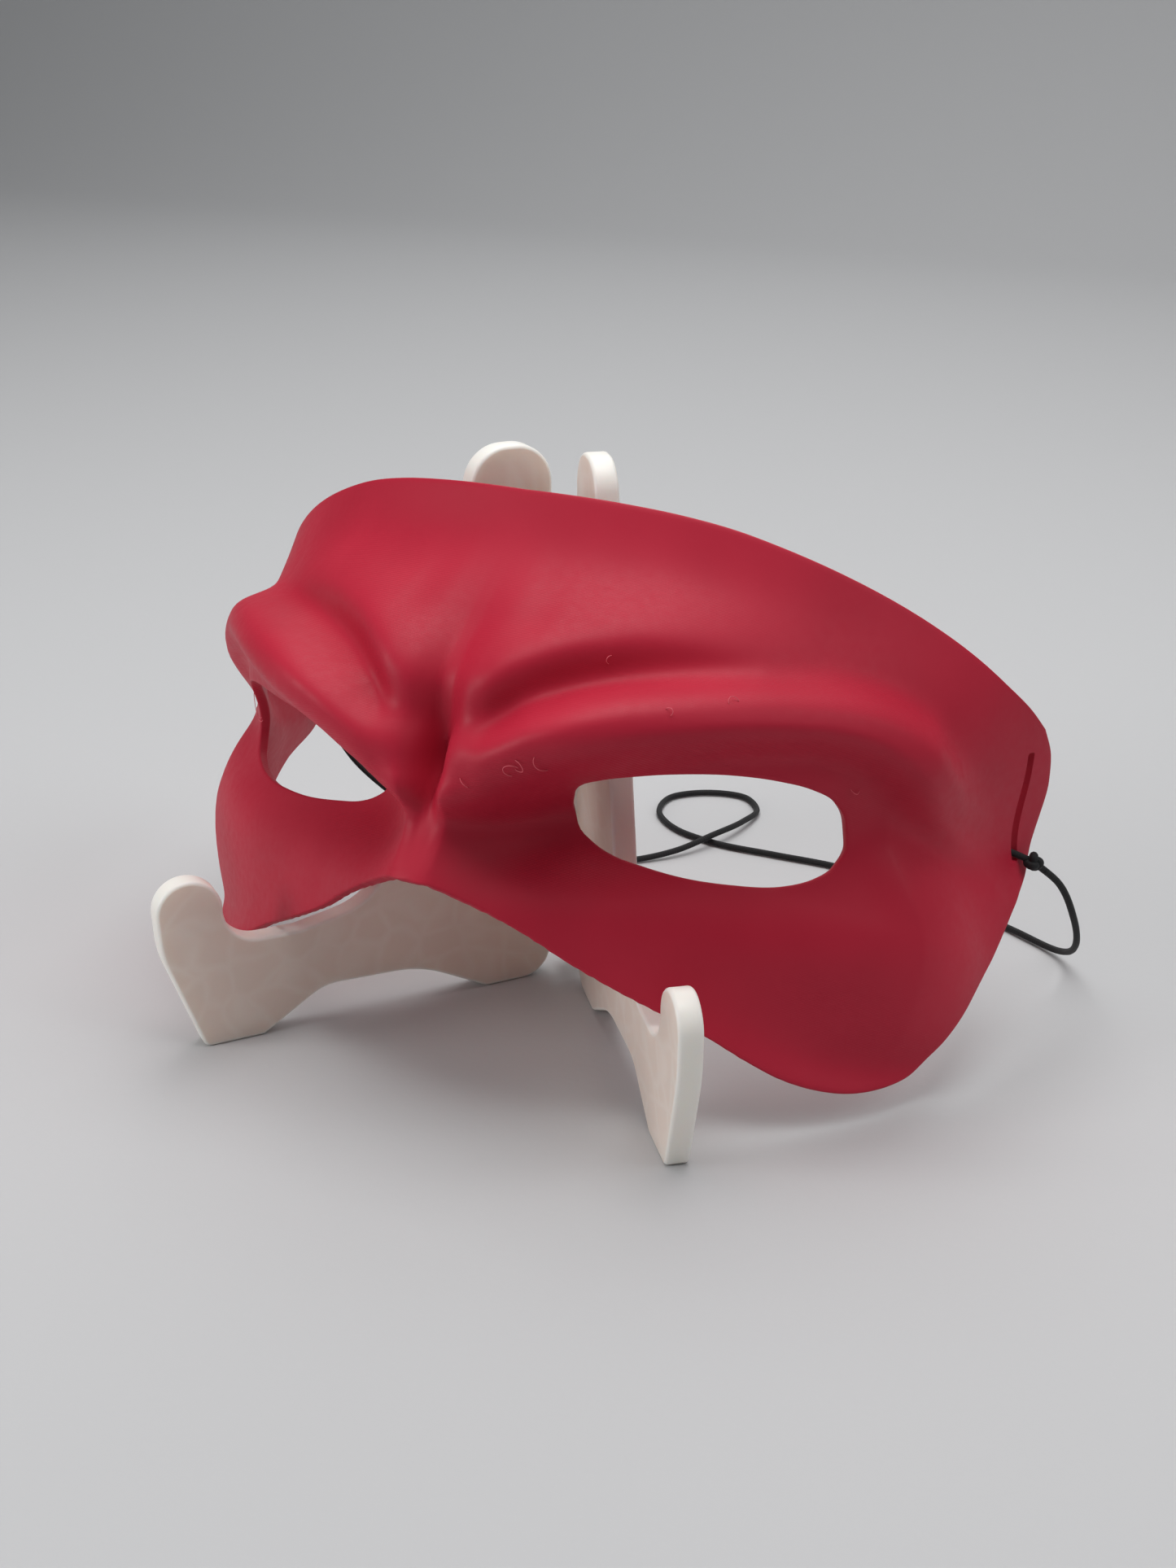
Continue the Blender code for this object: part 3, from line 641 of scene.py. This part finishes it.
def satinPrintedPla():
    made, tree, shader = newMaterial("satinPrintedPla")
    place = addNode(tree, "ShaderNodeTexCoord")
    upright = addNode(tree, "ShaderNodeMapping", {"Vector": place.outputs["Object"],
                                                  "Rotation": (mask["lean"], 0.0, 0.0)})
    face = addNode(tree, "ShaderNodeNewGeometry")
    level = addNode(tree, "ShaderNodeVectorMath", {
        0: face.outputs["Normal"], 1: (0.0, math.sin(mask["lean"]), math.cos(mask["lean"])),
    }, operation="DOT_PRODUCT")
    flatness = addNode(tree, "ShaderNodeMath", {0: level.outputs["Value"]}, operation="ABSOLUTE")
    steep, nearLevel = maskLook["layerFlatness"]
    faint, strong = maskLook["layerShows"]
    shown = addNode(tree, "ShaderNodeMapRange", {"Value": flatness.outputs[0], "From Min": steep,
                                                 "From Max": nearLevel, "To Min": faint, "To Max": strong})
    layers = addNode(tree, "ShaderNodeTexWave", {
        "Vector": upright.outputs[0], "Scale": math.pi / 10 / maskLook["layer"], "Distortion": 0.0,
    }, wave_type="BANDS", bands_direction="Z", wave_profile="SIN")
    mottle = addNode(tree, "ShaderNodeTexNoise", {
        "Vector": place.outputs["Object"], "Scale": 1 / maskLook["grain"], "Detail": 4.0})
    broad = addNode(tree, "ShaderNodeTexNoise", {
        "Vector": place.outputs["Object"], "Scale": 1 / maskLook["toneBreadth"], "Detail": 2.0})
    tone = addNode(tree, "ShaderNodeMapRange", {"Value": broad.outputs[0], **noiseSpan})
    colour = addNode(tree, "ShaderNodeMix", {
        "Factor": tone.outputs[0], "A": toLinear(maskLook["deep"]), "B": toLinear(maskLook["bright"]),
    }, data_type="RGBA")
    thread = addNode(tree, "ShaderNodeAttribute", attribute_name="printThread")
    paler = addNode(tree, "ShaderNodeMix", {
        "Factor": thread.outputs["Fac"], "A": colour.outputs["Result"], "B": toLinear(maskLook["thread"]),
    }, data_type="RGBA")
    tree.links.new(paler.outputs["Result"], shader.inputs["Base Color"])
    smoother, rougher = (maskLook["roughness"] + spread for spread in maskLook["roughnessSpread"])
    gloss = addNode(tree, "ShaderNodeMapRange", {
        "Value": mottle.outputs[0], **noiseSpan, "To Min": smoother, "To Max": rougher})
    tree.links.new(gloss.outputs[0], shader.inputs["Roughness"])
    grain = addNode(tree, "ShaderNodeBump", {
        "Height": mottle.outputs[0], "Strength": maskLook["grainShows"], "Distance": maskLook["grainDepth"]})
    bump = addNode(tree, "ShaderNodeBump", {
        "Height": layers.outputs["Fac"], "Strength": shown.outputs[0],
        "Distance": maskLook["layerDepth"], "Normal": grain.outputs[0]})
    tree.links.new(bump.outputs[0], shader.inputs["Normal"])
    shader.inputs["IOR"].default_value = maskLook["ior"]
    shader.inputs["Specular IOR Level"].default_value = maskLook["shine"]
    return made


# hairs of plastic that the nozzle pulled
printThreads = {
    "radius": 0.06 * mm,
    "sides": 6,
    "steps": 24,
    "roundness": 0.7,      # how high a hair's bow is for its breadth
    "start": 0.02 * mm,    # both ends touch the face, and the middle stands off it
    "lift": 0.6 * mm,
    "rows": [              # wrap, level, breadth in metres, start and sweep in turns
        (9.4, 0.210, 0.0011, 0.10, 0.62), (9.9, 0.219, 0.0009, 0.70, 0.55),
        (12.6, 0.232, 0.0014, 0.42, 0.34), (3.2, 0.165, 0.0024, 0.05, 0.12),
        (16.5, 0.440, 0.0009, 0.30, 0.40), (24.0, 0.352, 0.0008, 0.90, 0.40),
        (30.0, 0.400, 0.0009, 0.15, 0.45), (48.0, 0.330, 0.0010, 0.60, 0.35),
        (-46.6, 0.268, 0.0030, 0.30, 0.46), (-46.0, 0.250, 0.0018, 0.20, 0.62),
    ],
}


def threadMesh(row):
    wrap, level, breadth, start, sweep = row
    share = np.linspace(0, 1, printThreads["steps"] + 1)
    turns = 2 * math.pi * (start + sweep * share)
    wraps = wrap + np.cos(turns) * breadth / mask["perDegree"]
    levels = level + np.sin(turns) * breadth * printThreads["roundness"] / mask["faceHeight"]
    lift = printThreads["start"] + printThreads["lift"] * np.sin(math.pi * share)
    path = maskPoint(wraps, levels) + wallWay(wraps, levels) * lift[:, None] + maskLift + originShift
    return tubeMesh("printThread", path, printThreads["radius"], printThreads["sides"], mm)


def addThreads(mesh):
    own = len(mesh.vertices)
    joinMeshes(mesh, [threadMesh(row) for row in printThreads["rows"]])
    mark = mesh.attributes.new("printThread", "FLOAT", "POINT")
    mark.data.foreach_set("value", [0.0] * own + [1.0] * (len(mesh.vertices) - own))


print("mask")
redPla = satinPrintedPla()
maskShell = addPiece("maskShell", maskMesh(), redPla)
cutters = [slotCutter(side) for side in (1, -1)]
for cutter in cutters:
    cut = maskShell.modifiers.new("strapSlot", "BOOLEAN")
    cut.operation = "DIFFERENCE"
    cut.solver = "EXACT"
    cut.object = cutter
bpy.context.view_layer.update()
cutMesh = bpy.data.meshes.new_from_object(maskShell.evaluated_get(bpy.context.evaluated_depsgraph_get()))
maskShell.modifiers.clear()
maskShell.data = cutMesh
cutMesh.name = "maskShell"
addThreads(cutMesh)
cutMesh.set_sharp_from_angle(angle=math.radians(mask["sharpFrom"]))
for cutter in cutters:
    bpy.data.objects.remove(cutter)
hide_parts("mask_shell")
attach(maskShell, "root")


print("cord knots")
knot = {
    "diameter": 0.0038,
    "lift": 0.0002,        # above the slot's lower end
    "back": 0.0011,        # right knot behind its slot's line
    "strand": 0.00078,     # the cord's radius, squeezed flat where it is pulled tight
    "sides": 10,
    "steps": 72,
    "fullness": 1.6,       # how far its turns stand apart
    "tilt": (1.1, 0.5),    # radians, across and along the slot
    "lead": 0.94,          # share of the cord's thickness that goes on into the slot
    "leadSteps": 11,
    "leadDepth": 0.0008,   # how far the lead goes in
    "tail": 0.12,          # share of the cord's first stretch that the right knot draws
    "tailSteps": 7,
}


def knotMesh(name, side, raised, back):
    # an overhand knot pulled tight, with the strand that goes on into the slot
    down = 0.5 * strapSlot["length"] - raised
    spot = slotSpot(side, down, back)
    centre = maskPoint(*spot) + wallWay(*spot) * (knot["diameter"] / 2 + seat["clear"])
    centre = centre + maskLift + originShift
    size = (knot["diameter"] / 2 - knot["strand"]) / 3
    turns = np.linspace(0, 2 * math.pi, knot["steps"] + 1)[:-1]
    loop = np.stack([np.sin(turns) + 2 * np.sin(2 * turns), np.cos(turns) - 2 * np.cos(2 * turns),
                     -knot["fullness"] * np.sin(3 * turns)], -1) * size
    across, along = knot["tilt"]
    tilt = np.array(Matrix.Rotation(side * across, 3, "Y") @ Matrix.Rotation(along, 3, "X"))
    mesh = tubeMesh(name, loop @ tilt.T + centre, knot["strand"], knot["sides"], cord["threadPitch"],
                    closed=True)
    mouth = maskPoint(side * strapSlot["wrap"], strapSlot["level"]) + maskLift + originShift
    mouth = mouth + unit(slotWay(side)) * (down - cord["diameter"])
    end = mouth - wallWay(*slotSpot(side, down, 0.0)) * knot["leadDepth"]
    share = np.linspace(0, 1, knot["leadSteps"] + 1)[:, None]
    lead = centre * (1 - share) ** 2 + 2 * mouth * share * (1 - share) + end * share ** 2
    radius = cord["diameter"] / 2
    pieces = [tubeMesh("knotLead", lead, radius * knot["lead"], knot["sides"], cord["threadPitch"])]
    if side > 0:  # the cord leaves this knot, and its first stretch sits inside the knot
        first, second = np.array(cord["route"][0]), np.array(cord["route"][1])
        share = np.linspace(0, 1, knot["tailSteps"] + 1)[:, None]
        tail = centre + (first + (second - first) * knot["tail"] - centre) * share
        pieces.append(tubeMesh("knotTail", tail, radius, cord["sides"], cord["threadPitch"]))
    joinMeshes(mesh, pieces)
    return mesh


for side, name, node, raised, back in (
        (1, "cordKnotRight", "cord_knot_right", knot["lift"], knot["back"]),
        (-1, "cordKnotLeft", "cord_knot_left", knot["lift"] + cord["diameter"], -0.5 * cord["diameter"])):
    piece = addPiece(name, knotMesh(name, side, raised, back), elasticBraid)
    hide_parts(node)
    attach(piece, "root")


# natural PLA, milky and a little see-through: light soaks in, the solid outer lines of the print
# look whiter than the flat sides, where the thin skin lets the sparse filling inside show
standLook = {
    "side": "#EDDDD1",
    "edge": "#FAF4EC",
    "roughness": 0.38,
    "ior": 1.46,
    "soak": 0.35,
    "soakReach": (4 * mm, 3 * mm, 2.5 * mm),
    "filling": 7.5 * mm,          # between the filling's arcs
    "fillingShows": 0.45,
    "fillingLine": (0.02, 0.16),  # shares of a cell, where its line is full and where it ends
    "fillingUneven": 0.7,
    "bend": 0.012,                # how much the arcs wander
    "bendBreadth": 16.7 * mm,
    "patch": 11.1 * mm,           # the filling shows through in patches of this size
    "grain": 0.667 * mm,
    "grainDepth": 0.05 * mm,
    "grainShows": 0.15,
    "otherSide": 0.11,            # sets the two plates' patterns apart
}


def milkyPrintedPla():
    made, tree, shader = newMaterial("milkyPrintedPla")
    place = addNode(tree, "ShaderNodeUVMap", uv_map="plateSide")
    bend = addNode(tree, "ShaderNodeTexNoise", {
        "Vector": place.outputs[0], "Scale": 1 / standLook["bendBreadth"], "Detail": 1.0})
    warped = addNode(tree, "ShaderNodeMix", {"Factor": standLook["bend"], "A": place.outputs[0],
                                             "B": bend.outputs["Color"]}, data_type="RGBA")
    cells = addNode(tree, "ShaderNodeTexVoronoi", {
        "Vector": warped.outputs["Result"], "Scale": 1 / standLook["filling"],
        "Randomness": standLook["fillingUneven"],
    }, feature="DISTANCE_TO_EDGE")
    full, gone = standLook["fillingLine"]
    line = addNode(tree, "ShaderNodeMapRange", {"Value": cells.outputs["Distance"], "From Min": full,
                                                "From Max": gone, "To Min": 1.0, "To Max": 0.0})
    patch = addNode(tree, "ShaderNodeTexNoise", {
        "Vector": place.outputs[0], "Scale": 1 / standLook["patch"], "Detail": 2.0})
    shown = addNode(tree, "ShaderNodeMath", {0: line.outputs[0], 1: patch.outputs[0]}, operation="MULTIPLY")
    faint = addNode(tree, "ShaderNodeMath", {0: shown.outputs[0], 1: standLook["fillingShows"]},
                    operation="MULTIPLY")
    side = addNode(tree, "ShaderNodeMix", {
        "Factor": faint.outputs[0], "A": toLinear(standLook["side"]), "B": toLinear(standLook["edge"]),
    }, data_type="RGBA")
    rim = addNode(tree, "ShaderNodeAttribute", attribute_name="onEdge")
    colour = addNode(tree, "ShaderNodeMix", {
        "Factor": rim.outputs["Fac"], "A": side.outputs["Result"], "B": toLinear(standLook["edge"]),
    }, data_type="RGBA")
    tree.links.new(colour.outputs["Result"], shader.inputs["Base Color"])
    fine = addNode(tree, "ShaderNodeTexNoise", {
        "Vector": place.outputs[0], "Scale": 1 / standLook["grain"], "Detail": 2.0})
    bump = addNode(tree, "ShaderNodeBump", {"Height": fine.outputs[0], "Strength": standLook["grainShows"],
                                            "Distance": standLook["grainDepth"]})
    tree.links.new(bump.outputs[0], shader.inputs["Normal"])
    shader.inputs["Roughness"].default_value = standLook["roughness"]
    shader.inputs["IOR"].default_value = standLook["ior"]
    shader.inputs["Subsurface Weight"].default_value = standLook["soak"]
    shader.inputs["Subsurface Radius"].default_value = standLook["soakReach"]
    shader.inputs["Subsurface Scale"].default_value = 1.0
    return made


def roundedOutline(corners, steps):
    # outline through corners given as along, up, radius, each turned by an arc
    points = []
    count = len(corners)
    for i, (x, z, radius) in enumerate(corners):
        here = Vector((x, z))
        before = Vector(corners[i - 1][:2]) - here
        after = Vector(corners[(i + 1) % count][:2]) - here
        bend = before.angle(after)
        # an arc takes no more than half of each side
        cut = min(radius / math.tan(bend / 2), 0.499 * before.length, 0.499 * after.length)
        size = cut * math.tan(bend / 2)
        before.normalize()
        after.normalize()
        centre = here + (before + after).normalized() * (size / math.sin(bend / 2))
        start = here + before * cut - centre
        turn = start.angle_signed(here + after * cut - centre)
        for k in range(steps + 1):
            c = math.cos(-turn * k / steps)
            s = math.sin(-turn * k / steps)
            points.append(centre + Vector((start.x * c - start.y * s, start.x * s + start.y * c)))
    return points


def plateCorners():
    # along, up and radius of the corners, as shares of the plate's length where nothing else fits
    rear = stand["length"]
    hookFront = -stand["hookReach"]
    hookRear = hookFront + stand["hookBreadth"]
    backFront = rear - stand["backBreadth"]
    top = stand["height"]
    level = seat["height"]
    lean = stand["backLean"] * (top - level)
    return [
        (-0.018 * rear, 0.0, 0.022 * rear),
        (stand["footFront"], 0.0, 0.015 * rear),
        (stand["footFront"] + 0.175 * rear, stand["archHeight"], 0.150 * rear),
        (0.749 * rear - stand["footRear"], 0.93 * stand["archHeight"], 0.324 * rear),
        (0.945 * rear - stand["footRear"], 0.0, 0.030 * rear),
        (0.988 * rear, 0.0, 0.088 * rear),
        (rear, 0.5 * top, 0.740 * rear),
        (rear, top, 0.5 * stand["backBreadth"]),
        (backFront, top, 0.5 * stand["backBreadth"]),
        (backFront - lean, level + 0.045 * rear, 0.200 * rear),
        (hookRear + 0.205 * rear, level, 0.090 * rear),
        (hookRear, level, 0.103 * rear),
        (hookRear, stand["hookHeight"], 0.5 * stand["hookBreadth"]),
        (hookFront, stand["hookHeight"], 0.5 * stand["hookBreadth"]),
        (hookFront + 0.009 * rear, level, 0.295 * rear),
    ]


def printedWork(rings, onEdge, sidePlace):
    # closed work mesh through rings of points, with the print's outer lines marked
    work = bmesh.new()
    uv = work.loops.layers.uv.new("plateSide")
    rim = work.verts.layers.float.new("onEdge")
    rows = []
    for ring, mark in zip(rings, onEdge):
        row = [work.verts.new(point) for point in ring]
        for vert in row:
            vert[rim] = mark
        rows.append(row)
    bandFaces(work, rows)
    for row in (rows[0], rows[-1]):
        work.faces.new(row)
    bmesh.ops.recalc_face_normals(work, faces=work.faces)
    for face in work.faces:
        for loop in face.loops:
            loop[uv].uv = sidePlace(loop.vert.co)
    bmesh.ops.triangulate(work, faces=[f for f in work.faces if len(f.verts) > 4])
    return work


def plateMesh(name, side):
    outline = roundedOutline(plateCorners(), stand["arcSteps"])
    points = [outline[0]]
    for p in outline[1:]:
        if (p - points[-1]).length > stand["pointGap"]:
            points.append(p)
    foot, back, outward = plateFrame(side)
    half = stand["thickness"] / 2
    middle = foot + outward * half
    along = Vector((back[0], back[1], 0.0))
    up = Vector((0.0, 0.0, 1.0))
    turn = Matrix((along, up, along.cross(up))).transposed().to_4x4()
    place = Matrix.Translation(Vector((*middle, 0.0)) + Vector(originShift)) @ turn
    # each outline point's way in, for the rounded edge
    flat = np.array([(p.x, p.y) for p in points])
    run = unit(np.roll(flat, -1, axis=0) - np.roll(flat, 1, axis=0))
    inward = np.stack([-run[:, 1], run[:, 0]], -1)
    area = np.sum(flat[:, 0] * np.roll(flat[:, 1], -1) - np.roll(flat[:, 0], -1) * flat[:, 1])
    if area < 0:
        inward = -inward
    r = stand["edgeRadius"]
    edge = [(r * (1 - math.cos(a)), half - r + r * math.sin(a)) for a in np.radians((90, 60, 30, 0))]
    edge += [(inset, -depth) for inset, depth in edge[::-1]]
    rings = [[(p[0], p[1], depth) for p in flat + inward * inset] for inset, depth in edge]
    onEdge = [0.0] + [1.0] * (len(edge) - 2) + [0.0]  # the flat sides begin at the first and last ring
    shift = side * standLook["otherSide"]
    work = printedWork(rings, onEdge, lambda spot: (spot.x + shift, spot.y))
    bmesh.ops.transform(work, matrix=place, verts=work.verts)
    return meshFrom(name, work)


print("stand")
milkyPla = milkyPrintedPla()
for side, name, node in ((-1, "standPlateLeft", "stand_plate_left"),
                         (1, "standPlateRight", "stand_plate_right")):
    plate = addPiece(name, plateMesh(name, side), milkyPla, stand["sharpFrom"])
    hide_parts(node)
    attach(plate, "root")


hingePin = {
    "bottom": 0.006,
    "top": 0.08,
    "seat": 0.32,          # how far behind the plates' corner, as a share of the space for the hinge
    "sides": 64,
    "sharpFrom": 40,
    "end": [(0.6 * mm, 0.0), (0.2 * mm, 0.15 * mm), (0.0, 0.6 * mm)],  # in from the side, in from the end
}


def pinMesh():
    # upright pin behind the plates' rear edges, its ends slightly chamfered
    corner, back = standCorner()
    centre = corner + hingePin["seat"] * stand["hingeSpace"] * back
    foot, along, _ = plateFrame(1)
    radius = (centre - foot) @ along - stand["length"] - seat["clear"]
    profile = [(radius - side, hingePin["bottom"] + end) for side, end in hingePin["end"]]
    profile += [(radius - side, hingePin["top"] - end) for side, end in hingePin["end"][::-1]]
    centre = centre + originShift[:2]
    turns = np.linspace(0, 2 * math.pi, hingePin["sides"] + 1)[:-1]
    rings = [[(centre[0] + r * math.cos(a), centre[1] + r * math.sin(a), z) for a in turns]
             for r, z in profile]
    return meshFrom("standHinge", printedWork(rings, [1.0] * len(rings), lambda spot: (
        spot.x + spot.y - originShift[1], spot.z)))


hinge = addPiece("standHinge", pinMesh(), milkyPla, hingePin["sharpFrom"])
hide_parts("stand_hinge")
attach(hinge, "root")


# a plain pale sweep under and behind the object
print("floor and light")
studio = {
    "floor": "#C4C4C5",
    "roughness": 0.7,
    "grain": 1.43 * mm,
    "grainDepth": 0.3 * mm,
    "grainShows": 0.1,
    "sweepBack": 0.95,
    "sweepRadius": 0.5,
    "sweepSteps": 24,
    "halfWidth": 3.0,
    "front": -2.5,
    "wallTop": 2.6,
    "world": "#CDD2D6",
    "worldStrength": 0.21,
}


def sweepMesh():
    work = bmesh.new()
    r = studio["sweepRadius"]
    back = studio["sweepBack"]
    bends = np.linspace(0, math.pi / 2, studio["sweepSteps"] + 1)
    profile = [(studio["front"], 0.0)]
    profile += [(back + r * math.sin(a), r * (1 - math.cos(a))) for a in bends]
    profile.append((back + r, studio["wallTop"]))
    rows = []
    for y, z in profile:
        rows.append([work.verts.new((x, y, z)) for x in (-studio["halfWidth"], studio["halfWidth"])])
    for a, b in zip(rows, rows[1:]):
        work.faces.new((a[0], a[1], b[1], b[0]))
    return meshFrom("studioSweep", work)


def mattePaper():
    # uncoated paper, rolled: its fibres leave no gloss, only a faint tooth
    made, tree, shader = newMaterial("mattePaperSweep")
    place = addNode(tree, "ShaderNodeTexCoord")
    tone = addNode(tree, "ShaderNodeTexNoise", {
        "Vector": place.outputs["Object"], "Scale": 1 / studio["grain"], "Detail": 3.0})
    bump = addNode(tree, "ShaderNodeBump", {"Height": tone.outputs[0], "Strength": studio["grainShows"],
                                            "Distance": studio["grainDepth"]})
    tree.links.new(bump.outputs[0], shader.inputs["Normal"])
    shader.inputs["Base Color"].default_value = toLinear(studio["floor"])
    shader.inputs["Roughness"].default_value = studio["roughness"]
    return made


sweep = addPiece("studioSweep", sweepMesh(), mattePaper())

world = bpy.data.worlds.new("studioAir")
scene.world = world
world.use_nodes = True
sky = world.node_tree.nodes["Background"]
sky.inputs["Color"].default_value = toLinear(studio["world"])
sky.inputs["Strength"].default_value = studio["worldStrength"]

lights = {  # place, looks at, breadth, watts
    "overheadSoftbox": ((0.0, 0.02, 0.80), (0.0, 0.0, 0.0), 0.6, 4.1),
    "frontLeftSoftbox": ((-0.62, -0.58, 0.36), (0.0, 0.0, 0.05), 0.4, 3.0),
    "rightSoftbox": ((0.75, 0.12, 0.66), (0.0, 0.0, 0.05), 0.6, 2.0),
    "backSoftbox": ((-0.2, 0.75, 0.80), (0.0, 0.1, 0.0), 0.8, 2.2),
    "backdropSoftbox": ((-0.6, 0.75, 1.30), (-0.85, 1.45, 0.2), 1.2, 3.6),
}
for name, (place, aim, breadth, watts) in lights.items():
    data = bpy.data.lights.new(name, "AREA")
    data.size = breadth
    data.energy = watts
    lamp = bpy.data.objects.new(name, data)
    scene.collection.objects.link(lamp)
    lamp.location = place
    lamp.rotation_euler = (Vector(aim) - Vector(place)).to_track_quat("-Z", "Y").to_euler()

scene.view_settings.view_transform = "Standard"
